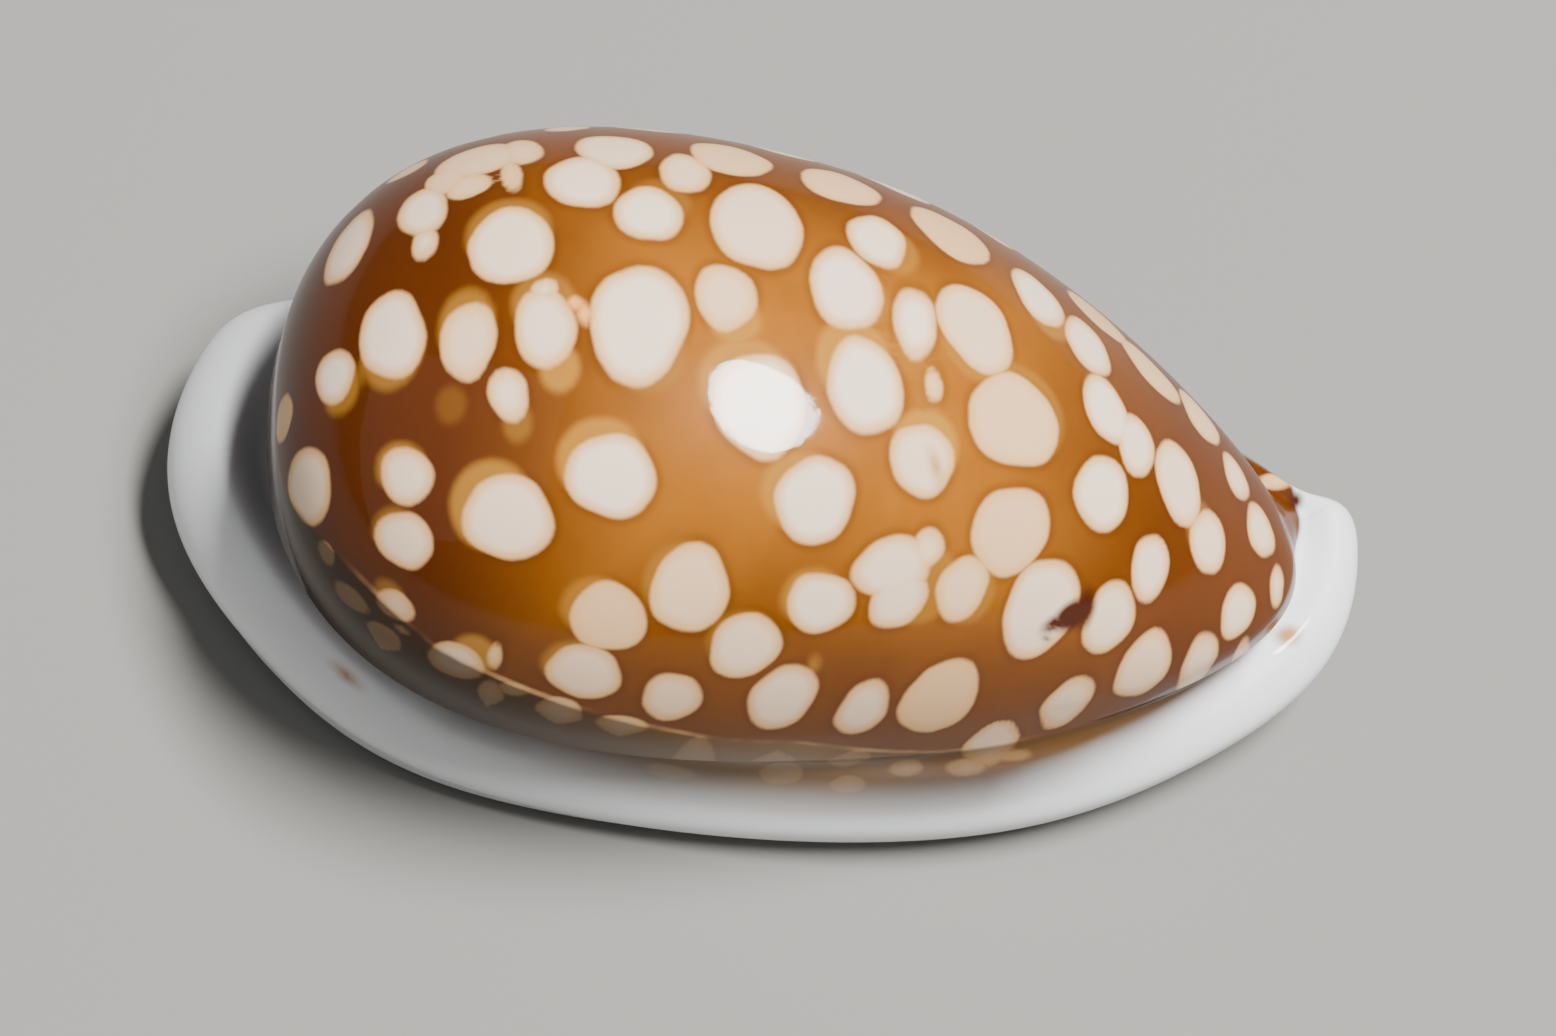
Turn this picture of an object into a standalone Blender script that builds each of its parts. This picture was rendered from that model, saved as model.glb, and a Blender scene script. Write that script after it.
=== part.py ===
"""Cowrie shell, 30 mm long, resting on its base.

The whole shell is one piece: a domed back, a thick rolled margin that stands out as a collar round
the spire end and a beak at the front, a flat base, and a narrow toothed mouth that opens into the
hollow inside.

Frame: +X is the front (anterior) end, -Y the outer lip, +Y the columella side, and +Z is up. The base
rests on Z = 0, and the origin is under the middle of the shell.

The surface is one lattice. Compass lines go round the shell seen from above, from the front tip
anticlockwise. Rings go from the top of the back over the margin, under the base, through the mouth
and up the inner wall to the inside of the top.
"""
import bpy
import numpy as np

MM = 0.001
TURN = 2.0 * np.pi

# ---------------------------------------------------------------- driving dimensions, millimetres
# The shell is laid out in the millimetres below and brought to this length as the last step.
SHELL_LENGTH = 30.0

# Domed back: an egg-like dome, fuller towards the spire end.
BACK_FULLNESS = (0.23, -0.05)       # how much squarer than an ellipsoid: spire end, front end
BACK_MIDDLE = (0.1, -0.5)
BACK_HALF_LENGTH = 12.85
BACK_HALF_WIDTH = (7.3, 7.8)        # outer-lip side, columella side
BACK_SIDE_BLEND = 0.25              # how gently the one half-width turns into the other
BACK_WIDEST_LEVEL = 5.2             # height of the widest girth at mid length
BACK_LEVEL_FALL = 1.25              # how far that level falls towards the front
BACK_RISE = 7.75                    # from the widest girth to the top
BACK_TAPER_SIDE = (0.27, -0.05)     # narrowing towards the front, linear and squared
BACK_TAPER_TOP = (0.08, 0.58)       # lowering towards the front, linear and squared
BACK_LEAN = -0.6                    # sideways bend of the front towards the outer lip

# Margin edge seen from above, and its height: sixteen compass points, from the front tip anticlockwise.
EDGE = (
    (15.0, 0.1, 2.6), (14.2, 2.1, 2.4), (10.6, 3.9, 2.0), (6.2, 5.9, 1.9),
    (0.2, 7.4, 1.9), (-5.8, 7.8, 2.0), (-10.7, 7.0, 2.2), (-13.6, 4.7, 2.5),
    (-14.8, 1.6, 2.5), (-14.4, -1.3, 2.4), (-12.35, -4.15, 2.1), (-8.3, -6.8, 1.6),
    (-1.3, -7.95, 1.3), (5.7, -7.5, 1.4), (10.6, -5.6, 1.8), (14.0, -2.9, 2.3),
)
# The rolled margin at the same sixteen points: how far its inner foot lies in from the edge, and how
# high its crest and its inner foot stand above the edge.
ROLL_WIDTH = (1.6, 1.4, 1.1, 0.8, 0.7, 0.9, 1.6, 2.4, 2.4, 2.2, 1.8, 1.1, 0.5, 0.5, 1.1, 1.6)
CREST_RISE = (0.8, 0.8, 0.8, 0.9, 1.0, 1.0, 1.2, 1.4, 1.5, 1.5, 1.3, 1.1, 1.0, 1.0, 0.9, 0.9)
FOOT_RISE = (0.6, 0.7, 1.1, 1.5, 1.8, 1.7, 1.4, 1.0, 0.9, 0.9, 1.2, 1.8, 2.3, 2.2, 1.5, 0.9)
CREST_PLACE = 0.45                  # crest, as a share of the roll width in from the edge
FLANK_TUCK = 0.12                   # how far the flank is drawn in between the girth and the roll

# Base. Each ring stands off the edge or the mouth by a distance that is held to a share of the way
# from the edge to the mouth: (distance, largest share).
UNDER_EDGE = (0.30, 0.15)
HEEL = (1.25, 0.35)
SOLE = (2.3, 0.40)
BROW = (0.75, 0.20)
UNDER_EDGE_LEVEL = 0.42             # share of the edge's height
BASE_END_LIFT = 0.9                 # how far the base curves up at the two ends
BASE_END_POWER = 5                  # how late along the shell that lift begins
HEEL_SINK = 0.04                    # the heel and sole are pressed this far into the flat rest
SOLE_LIFT_SHARE = 0.55              # share of the end lift that the sole takes
SOLE_SINK = 0.06
BROW_LEVEL = 0.10
LIP_LEVEL = 0.75

# Mouth.
MOUTH_REACH = (-11.7, 12.6)         # spire end and front end
MOUTH_BOW = (0.15, 0.0090, 0.0000300)   # side offset, and squared and fourth-power bow
MOUTH_STRAIGHTEST = 4.0             # where along the shell the mouth runs straight
MOUTH_HALF_WIDTH = (0.50, 0.75)     # towards the spire end, towards the front
MOUTH_BLUNTNESS = 3.0               # how square its ends are
MOUTH_TURN = (8.0, 28.0)            # degrees that its compass is turned, to bring its ends to the canals
LIP_DEPTH = 2.3                     # from the base up to the inner edge of the lips
LIP_SPREAD = 0.35                   # the lips' inner edge is this much wider to each side
LIP_DRAW_IN = 1.6                   # and stops this far short of the mouth's ends
TEETH = (19, 17)                    # outer lip, columella side
TOOTH_HEIGHT = (0.50, 0.42)
TOOTH_RISE = 0.6                    # how far a gap is cut upwards, as a share of its depth
TOOTH_FADE = (0.30, 0.20)           # where along the mouth's half turn the teeth begin, and over how much
TOOTH_SHARES = (0.0, 0.0, 0.25, 0.6, 1.0, 1.0, 0.8, 0.3)    # depth of the gaps, heel to inner lip
# Canals at the two ends of the mouth: compass angle, half-width in degrees, roof height, and how far
# the margin's edge is notched there.
CANALS = ((26.0, 8.0, 1.8, 0.5), (145.0, 8.0, 1.6, 1.0))

# Hollow.
WALL = 1.3
FLOOR_PLACE = 0.55                  # share of the way from the lips' inner edge to the hollow's girth
FLOOR_RISE = 0.25
SIDE_PLACE = 0.90
SIDE_LEVEL = 0.45

# ---------------------------------------------------------------- lattice
BACK_LINES = 96
LIP_LINES = 192
CROWDING = (0.10, 0.25)             # compass lines moved to the long sides, and to the columella side
GIRTH_STEP = np.radians(9.0)        # rise of the first back ring above the widest girth
BACK_RINGS = 12
HOLLOW_RINGS = 5
# Rings in each stretch between control rings, from the widest girth down, under and up inside.
STEPS = (2, 2, 3, 3, 2, 1, 1, 2, 2, 2, 1, 1, 1)
# Places of some control rings in the list that control_rings gives.
GIRTH, UNDER, HEEL_RING, LIP_INNER, FLOOR, HOLLOW_GIRTH = 0, 5, 6, 10, 11, 13

SHELL_COLOUR = (0.43, 0.20, 0.07, 1.0)
SHELL_ROUGHNESS = 0.16


def around(values, angle):
    """Smooth closed curve through equally spaced values, read at the compass angles."""
    knots = np.asarray(values, float)
    count = len(knots)
    step = TURN / count
    matrix = 4.0 * np.eye(count) + np.roll(np.eye(count), 1, 0) + np.roll(np.eye(count), -1, 0)
    bend = np.roll(knots, -1, 0) - 2.0 * knots + np.roll(knots, 1, 0)
    curvature = np.linalg.solve(matrix, 6.0 / step**2 * bend)
    place = (np.asarray(angle) % TURN) / step
    low = np.floor(place).astype(int)
    along = place - low
    low %= count
    high = (low + 1) % count
    if knots.ndim == 2:
        along = along[:, None]
    back = 1.0 - along
    curved = (back**3 - back) * curvature[low] + (along**3 - along) * curvature[high]
    return back * knots[low] + along * knots[high] + step**2 / 6.0 * curved


def compass(count):
    """Compass angles of the lines, a little crowded along the long sides, most on the columella side."""
    even = np.arange(count) * TURN / count
    return even + CROWDING[0] * np.sin(2.0 * even) + CROWDING[1] * np.cos(even)


def back_point(angle, rise, shrink=0.0):
    """Point on the domed back: rise is 0 at the widest girth and a quarter turn at the top."""
    ahead = np.cos(rise) * np.cos(angle)
    side = np.cos(rise) * np.sin(angle)
    up = np.sin(rise) * np.ones_like(angle)
    to_front = 0.5 + 0.5 * ahead
    power = 2.0 + BACK_FULLNESS[0] + (BACK_FULLNESS[1] - BACK_FULLNESS[0]) * to_front
    swell = (np.abs(ahead)**power + np.abs(side)**power + np.abs(up)**power)**(-1.0 / power)
    ahead, side, up = ahead * swell, side * swell, up * swell
    front = np.maximum(ahead, 0.0)
    columella = 0.5 + 0.5 * np.tanh(side / BACK_SIDE_BLEND)
    half_width = BACK_HALF_WIDTH[0] + (BACK_HALF_WIDTH[1] - BACK_HALF_WIDTH[0]) * columella - shrink
    narrowing = 1.0 - BACK_TAPER_SIDE[0] * ahead - BACK_TAPER_SIDE[1] * ahead**2
    height = (BACK_RISE - shrink) * (1.0 - BACK_TAPER_TOP[0] * ahead - BACK_TAPER_TOP[1] * front**2)
    x = BACK_MIDDLE[0] + (BACK_HALF_LENGTH - shrink) * ahead
    y = BACK_MIDDLE[1] + BACK_LEAN * front**2 + half_width * side * narrowing
    z = BACK_WIDEST_LEVEL - BACK_LEVEL_FALL * ahead + height * up
    return np.stack([x, y, z], -1)


def inward_of(curve):
    """Level unit vectors that point into a closed curve that runs anticlockwise."""
    run = np.roll(curve, -1, 0) - np.roll(curve, 1, 0)
    across = np.stack([-run[:, 1], run[:, 0], np.zeros(len(run))], -1)
    return across / np.linalg.norm(across, axis=1, keepdims=True)


def soft_min(first, second):
    """Smaller of two positive lengths, rounded where they cross."""
    return (first**-4 + second**-4)**-0.25


def mouth_angle(angle):
    """The mouth's own compass angle: 0 at its front end, half a turn at its spire end."""
    return angle + np.radians(MOUTH_TURN[0]) - np.radians(MOUTH_TURN[1]) * np.cos(angle)


def mouth_line(angle, spread=0.0, draw_in=0.0):
    """Closed curve round the mouth, spread out from its edge and drawn in from its two ends."""
    own = mouth_angle(angle)
    middle = 0.5 * (MOUTH_REACH[0] + MOUTH_REACH[1])
    reach = 0.5 * (MOUTH_REACH[1] - MOUTH_REACH[0]) - draw_in
    x = middle + reach * np.cos(own)
    to_front = 0.5 + 0.5 * np.cos(own)
    half = MOUTH_HALF_WIDTH[0] + (MOUTH_HALF_WIDTH[1] - MOUTH_HALF_WIDTH[0]) * to_front + spread
    side = np.tanh(MOUTH_BLUNTNESS * np.sin(own)) / np.tanh(MOUTH_BLUNTNESS)
    offset, bow, hook = MOUTH_BOW
    off_straight = x - MOUTH_STRAIGHTEST
    y = offset + bow * off_straight**2 + hook * off_straight**4
    slope = 2.0 * bow * off_straight + 4.0 * hook * off_straight**3
    width = half * side / np.sqrt(1.0 + slope**2)
    return np.stack([x - slope * width, y + width, np.zeros_like(x)], -1)


def tooth_gap(angle):
    """How deep the gaps between the teeth are: 0 on a tooth, and fading out at the mouth's ends."""
    own = mouth_angle(angle)
    along = -0.5 * np.cos(own)
    outer_lip = np.sin(own) < 0.0
    count = np.where(outer_lip, TEETH[0], TEETH[1])
    height = np.where(outer_lip, TOOTH_HEIGHT[0], TOOTH_HEIGHT[1])
    gap = 0.5 - 0.5 * np.cos(TURN * count * along)
    fade = np.clip((np.abs(np.sin(own)) - TOOTH_FADE[0]) / TOOTH_FADE[1], 0.0, 1.0)
    return height * gap * fade


def canal_share(angle, place, half_width):
    """1 in the middle of a canal, falling smoothly to 0 at its sides."""
    off = (np.degrees(angle) - place + 180.0) % 360.0 - 180.0
    return np.exp(-(off / half_width)**2)


def canal_roof(angle, level):
    """Underside level, raised to the canals' roofs where they leave the mouth."""
    for place, half_width, roof, _ in CANALS:
        share = canal_share(angle, place, half_width)
        level = level + (np.maximum(roof, level) - level) * share
    return level


def notch_depth(angle):
    """How far the margin's edge is drawn in where the two canals leave it."""
    depth = np.zeros_like(angle)
    for place, half_width, _, notch in CANALS:
        depth = depth + notch * canal_share(angle, place, half_width)
    return depth[:, None]


def at_level(points, level):
    """The points, moved up or down to a level."""
    moved = points.copy()
    moved[:, 2] = level
    return moved


def control_rings(angle):
    """Rings that the surface passes through, from the widest girth to the hollow's widest girth."""
    whole_edge = around(EDGE, angle)
    inward = inward_of(whole_edge)
    edge = whole_edge + notch_depth(angle) * inward
    girth = back_point(angle, 0.0)
    foot = whole_edge + around(ROLL_WIDTH, angle)[:, None] * inward
    foot = at_level(foot, whole_edge[:, 2] + around(FOOT_RISE, angle))
    flank = 0.5 * (girth + foot) + FLANK_TUCK * inward
    crown = at_level(edge + CREST_PLACE * (foot - edge), edge[:, 2] + around(CREST_RISE, angle))

    mouth = mouth_line(angle)
    across = at_level(mouth - edge, 0.0)
    span = np.linalg.norm(across, axis=1, keepdims=True)
    across /= span
    lift = BASE_END_LIFT * np.abs(np.cos(angle))**BASE_END_POWER
    flat = np.zeros_like(angle)
    under = edge + soft_min(UNDER_EDGE[0], UNDER_EDGE[1] * span) * across
    under = at_level(under, canal_roof(angle, UNDER_EDGE_LEVEL * edge[:, 2]))
    heel = edge + soft_min(HEEL[0], HEEL[1] * span) * across
    heel = at_level(heel, canal_roof(angle, lift - HEEL_SINK))
    sole = mouth - soft_min(SOLE[0], SOLE[1] * span) * across
    sole = at_level(sole, canal_roof(angle, SOLE_LIFT_SHARE * lift - SOLE_SINK))
    brow = mouth - soft_min(BROW[0], BROW[1] * span) * across
    brow = at_level(brow, canal_roof(angle, flat + BROW_LEVEL))
    lip = at_level(mouth, canal_roof(angle, flat + LIP_LEVEL))

    lip_inner = at_level(mouth_line(angle, LIP_SPREAD, LIP_DRAW_IN), LIP_DEPTH)
    hollow_girth = back_point(angle, 0.0, WALL)
    floor = at_level(lip_inner + FLOOR_PLACE * (hollow_girth - lip_inner), LIP_DEPTH + FLOOR_RISE)
    side = lip_inner + SIDE_PLACE * (hollow_girth - lip_inner)
    side = at_level(side, LIP_DEPTH + SIDE_LEVEL * (hollow_girth[:, 2] - LIP_DEPTH))
    return [girth, flank, foot, crown, edge, under, heel, sole, brow, lip,
            lip_inner, floor, side, hollow_girth]


def between(before, start, end, after, share):
    """Catmull-Rom point between the start and end rings."""
    return 0.5 * (2.0 * start + (end - before) * share
                  + (2.0 * before - 5.0 * start + 4.0 * end - after) * share**2
                  + (3.0 * start - before - 3.0 * end + after) * share**3)


def rings(angle, first, last):
    """Finished rings from control ring first to control ring last, none of them below the base."""
    controls = [back_point(angle, GIRTH_STEP)] + control_rings(angle) + [back_point(angle, GIRTH_STEP, WALL)]
    made = []
    for index in range(first, last):
        for step in range(STEPS[index]):
            made.append(between(*controls[index:index + 4], step / STEPS[index]))
    made.append(controls[last + 1])
    return [at_level(ring, np.maximum(ring[:, 2], 0.0)) for ring in made]


def with_teeth(ring, angle, share):
    """Sinks the gaps between the teeth into a lip ring, away from the mouth's middle and upwards."""
    depth = share * tooth_gap(angle)
    cut = ring.copy()
    cut[:, 1] += np.sign(np.sin(mouth_angle(angle))) * depth
    cut[:, 2] += TOOTH_RISE * depth
    return cut


def back_rises(count):
    """Rises of the back's rings above the girth, lowest first, up to just short of the top."""
    return [GIRTH_STEP + (np.pi / 2.0 - GIRTH_STEP) * step / count for step in range(count)]


def lattice():
    """Rings of points from the top of the back to the top of the hollow."""
    coarse = compass(BACK_LINES)
    fine = compass(LIP_LINES)
    rows = [back_point(coarse, rise) for rise in reversed(back_rises(BACK_RINGS))]
    rows += rings(coarse, GIRTH, UNDER)
    lips = rings(fine, HEEL_RING, LIP_INNER)
    rows += [with_teeth(ring, fine, share) for ring, share in zip(lips, TOOTH_SHARES)]
    rows += rings(coarse, FLOOR, HOLLOW_GIRTH)
    rows += [back_point(coarse, rise, WALL) for rise in back_rises(HOLLOW_RINGS)]
    return rows


def strip(upper, lower, upper_start, lower_start):
    """Faces between two rings, where one may have twice as many points as the other."""
    faces = []
    if upper == lower:
        for i in range(upper):
            j = (i + 1) % upper
            faces.append((upper_start + i, lower_start + i, lower_start + j, upper_start + j))
    elif lower == 2 * upper:
        for i in range(upper):
            j = (i + 1) % upper
            a, b, c = 2 * i, 2 * i + 1, (2 * i + 2) % lower
            faces.append((upper_start + i, lower_start + a, lower_start + b))
            faces.append((upper_start + i, lower_start + b, upper_start + j))
            faces.append((upper_start + j, lower_start + b, lower_start + c))
    else:
        for i in range(lower):
            j = (i + 1) % lower
            a, b, c = 2 * i, 2 * i + 1, (2 * i + 2) % upper
            faces.append((lower_start + i, upper_start + b, upper_start + a))
            faces.append((lower_start + i, lower_start + j, upper_start + b))
            faces.append((lower_start + j, upper_start + c, upper_start + b))
    return faces


def shell_mesh():
    """The closed surface, centred over the origin and brought to its length."""
    rows = lattice()
    top = back_point(np.zeros(1), np.pi / 2.0)
    hollow_top = back_point(np.zeros(1), np.pi / 2.0, WALL)
    points = np.concatenate([top] + rows + [hollow_top])
    low, high = points.min(0), points.max(0)
    points -= ((low[0] + high[0]) / 2.0, (low[1] + high[1]) / 2.0, 0.0)
    points *= SHELL_LENGTH / (high[0] - low[0]) * MM

    starts = np.cumsum([1] + [len(row) for row in rows]).tolist()
    first_count, last_count = len(rows[0]), len(rows[-1])
    faces = [(0, 1 + i, 1 + (i + 1) % first_count) for i in range(first_count)]
    for upper, lower, start, following in zip(rows, rows[1:], starts, starts[1:]):
        faces += strip(len(upper), len(lower), start, following)
    innermost, peak = starts[-2], starts[-1]
    faces += [(innermost + i, peak, innermost + (i + 1) % last_count) for i in range(last_count)]

    mesh = bpy.data.meshes.new("shell")
    mesh.from_pydata(points.tolist(), [], faces)
    mesh.update()
    return mesh


def shell_material():
    """Hard, glossy natural enamel; its ground colour is a warm ochre brown."""
    material = bpy.data.materials.new("glossy_cowrie_enamel")
    material.use_nodes = True
    shader = material.node_tree.nodes["Principled BSDF"]
    shader.inputs["Base Color"].default_value = SHELL_COLOUR
    shader.inputs["Roughness"].default_value = SHELL_ROUGHNESS
    shader.inputs["Metallic"].default_value = 0.0
    return material


def main():
    for old in list(bpy.data.objects):
        bpy.data.objects.remove(old, do_unlink=True)
    mesh = shell_mesh()
    mesh.materials.append(shell_material())
    mesh.shade_smooth()
    shell = bpy.data.objects.new("shell", mesh)
    bpy.context.scene.collection.objects.link(shell)


if __name__ == "__main__":
    main()
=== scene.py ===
"""Cowrie shell: a glossy, spotted back over a porcelain-white rolled margin, base and toothed mouth.

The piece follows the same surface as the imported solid, much finer. Its markings are laid out in the
shell's own terms: a station in millimetres along the shell, and a girth angle in degrees round its
long axis, 0 at the top, below 0 towards the outer lip and above 0 towards the columella side.
"""

import bpy
import numpy as np
from mathutils import Matrix, Vector


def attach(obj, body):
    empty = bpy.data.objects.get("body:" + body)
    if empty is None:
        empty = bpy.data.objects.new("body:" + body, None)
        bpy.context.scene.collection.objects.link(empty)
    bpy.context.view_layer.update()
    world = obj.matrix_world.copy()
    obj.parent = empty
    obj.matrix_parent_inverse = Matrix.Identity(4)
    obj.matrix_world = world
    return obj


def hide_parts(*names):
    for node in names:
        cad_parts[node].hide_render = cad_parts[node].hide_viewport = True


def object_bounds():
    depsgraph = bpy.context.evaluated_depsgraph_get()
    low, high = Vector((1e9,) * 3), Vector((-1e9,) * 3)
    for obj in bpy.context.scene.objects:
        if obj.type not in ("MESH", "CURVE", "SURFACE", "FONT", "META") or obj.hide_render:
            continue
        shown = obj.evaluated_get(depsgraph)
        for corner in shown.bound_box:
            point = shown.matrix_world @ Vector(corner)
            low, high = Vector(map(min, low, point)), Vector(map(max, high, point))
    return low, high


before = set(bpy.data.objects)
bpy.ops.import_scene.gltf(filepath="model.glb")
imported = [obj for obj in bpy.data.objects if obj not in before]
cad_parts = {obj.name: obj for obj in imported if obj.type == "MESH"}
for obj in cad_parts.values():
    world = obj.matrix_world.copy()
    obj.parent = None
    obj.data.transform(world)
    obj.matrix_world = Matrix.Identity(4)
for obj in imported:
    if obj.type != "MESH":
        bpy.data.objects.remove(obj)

bl_info = {
    "name": "Cowrie shell",
    "version": (1, 0, 0),
    "blender": (4, 5, 0),
    "location": "3D View > Sidebar > Cowrie",
    "description": "Builds a spotted cowrie shell and a plain stage for it",
    "category": "Add Mesh",
}

CAD_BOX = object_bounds()
MM = 0.001
TURN = 2.0 * np.pi
QUARTER = np.pi / 2.0
TINY = 1e-9                         # keeps a division from meeting 0

# ---------------------------------------------------------------- the shell's form, millimetres
BACK_FULLNESS = (0.23, -0.05)       # how much squarer than an ellipsoid: spire end, front end
BACK_MIDDLE = (0.1, -0.5)
BACK_HALF_LENGTH = 12.85
BACK_HALF_WIDTH = (7.3, 7.8)        # outer-lip side, columella side
BACK_SIDE_BLEND = 0.25              # share of it over which one turns into the other
BACK_WIDEST_LEVEL = 5.2             # height of the widest girth at mid-length
BACK_LEVEL_FALL = 1.25              # how much lower it is at the front end than at mid-length
BACK_RISE = 7.75
BACK_TAPER_SIDE = (0.27, -0.05)     # narrowing towards the front, linear and squared
BACK_TAPER_TOP = (0.08, 0.58)       # lowering towards the front, linear and squared
BACK_LEAN = -0.6                    # sideways bend of the front towards the outer lip

# The margin at sixteen compass points, from the front tip anticlockwise: its edge, how far the inner
# foot of the roll lies in from it, and how high the crest and the foot stand above it.
EDGE = (
    (15.0, 0.1, 2.6), (14.2, 2.1, 2.4), (10.6, 3.9, 2.0), (6.2, 5.9, 1.9),
    (0.2, 7.4, 1.9), (-5.8, 7.8, 2.0), (-10.7, 7.0, 2.2), (-13.6, 4.7, 2.5),
    (-14.8, 1.6, 2.5), (-14.4, -1.3, 2.4), (-12.35, -4.15, 2.1), (-8.3, -6.8, 1.6),
    (-1.3, -7.95, 1.3), (5.7, -7.5, 1.4), (10.6, -5.6, 1.8), (14.0, -2.9, 2.3),
)
ROLL_WIDTH = (1.6, 1.4, 1.1, 0.8, 0.7, 0.9, 1.6, 2.4, 2.4, 2.2, 1.8, 1.1, 0.5, 0.5, 1.1, 1.6)
CREST_RISE = (0.8, 0.8, 0.8, 0.9, 1.0, 1.0, 1.2, 1.4, 1.5, 1.5, 1.3, 1.1, 1.0, 1.0, 0.9, 0.9)
FOOT_RISE = (0.6, 0.7, 1.1, 1.5, 1.8, 1.7, 1.4, 1.0, 0.9, 0.9, 1.2, 1.8, 2.3, 2.2, 1.5, 0.9)
CREST_PLACE = 0.45                  # share of the way from the edge in to the foot
FLANK_TUCK = 0.12                   # how far the flank is drawn in between the girth and the foot

# Base rings: distance from the edge or the mouth, and the largest share of the way between them.
UNDER_EDGE = (0.30, 0.15)
HEEL = (1.25, 0.35)
SOLE = (2.3, 0.40)
BROW = (0.75, 0.20)
CORNER_POWER = 4                    # the higher, the sharper the change between the two
UNDER_EDGE_LEVEL = 0.42             # share of the edge's height
BASE_END_LIFT = 0.9                 # how far the base rises at its two ends
BASE_END_POWER = 5
HEEL_SINK = 0.04
SOLE_LIFT_SHARE = 0.55
SOLE_SINK = 0.06
BROW_LEVEL = 0.10
LIP_LEVEL = 0.75

MOUTH_REACH = (-11.7, 12.6)         # stations of its spire end and its front end
MOUTH_BOW = (0.15, 0.0090, 0.0000300)       # offset, and how fast it bends away, squared and to the 4th
MOUTH_STRAIGHTEST = 4.0             # station where it runs straight along the shell
MOUTH_HALF_WIDTH = (0.50, 0.75)     # spire end, front end
MOUTH_BLUNTNESS = 3.0
MOUTH_TURN = (8.0, 28.0)            # degrees its own angles lead the shell's by, and how far that swings
LIP_DEPTH = 2.3
LIP_SPREAD = 0.35                   # how much wider each side of the slit is on the inside
LIP_DRAW_IN = 1.6                   # and how much shorter each end of it is
TOOTH_FADE = (0.30, 0.20)           # sine of its own angle where teeth start, and over which they grow
TOOTH_RISE = 0.6                    # how far a gap is sunk upwards, against how far sideways
TOOTH_RINGS = (6.0, 7.0, 7.5, 8.0, 8.5, 9.0, 9.5, 10.0, 11.0)   # ring places, from the heel inwards
TOOTH_SHARES = (0.0, 0.0, 0.25, 0.6, 1.0, 1.0, 0.8, 0.3, 0.0)   # depth of the gaps at each of them
CANALS = ((26.0, 8.0, 1.8, 0.5), (145.0, 8.0, 1.6, 1.0))    # angle, half-width, roof, notch

WALL = 1.3
FLOOR_PLACE = 0.55                  # share of the way from the inner lip to the hollow's widest girth
FLOOR_RISE = 0.25
SIDE_PLACE = 0.90
SIDE_LEVEL = 0.45                   # share of the height of that girth above the inner lip

# Mesh: compass lines, rings of the back and of the hollow, and rings in each stretch between the
# control rings from the widest girth down over the margin, under the base and up inside.
LINES = 512
CROWDING = (0.10, 0.15)             # radians that the lines are moved towards the long sides
GIRTH_STEP = np.radians(9.0)        # from the widest girth up to the last ring of the back
BACK_RINGS = 72
HOLLOW_RINGS = 8
RINGS_BETWEEN = (9, 9, 10, 10, 8, 5, 6, 12, 8, 8, 4, 3, 3)
EDGE_RING = 4                       # the control ring where the outside turns under

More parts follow.
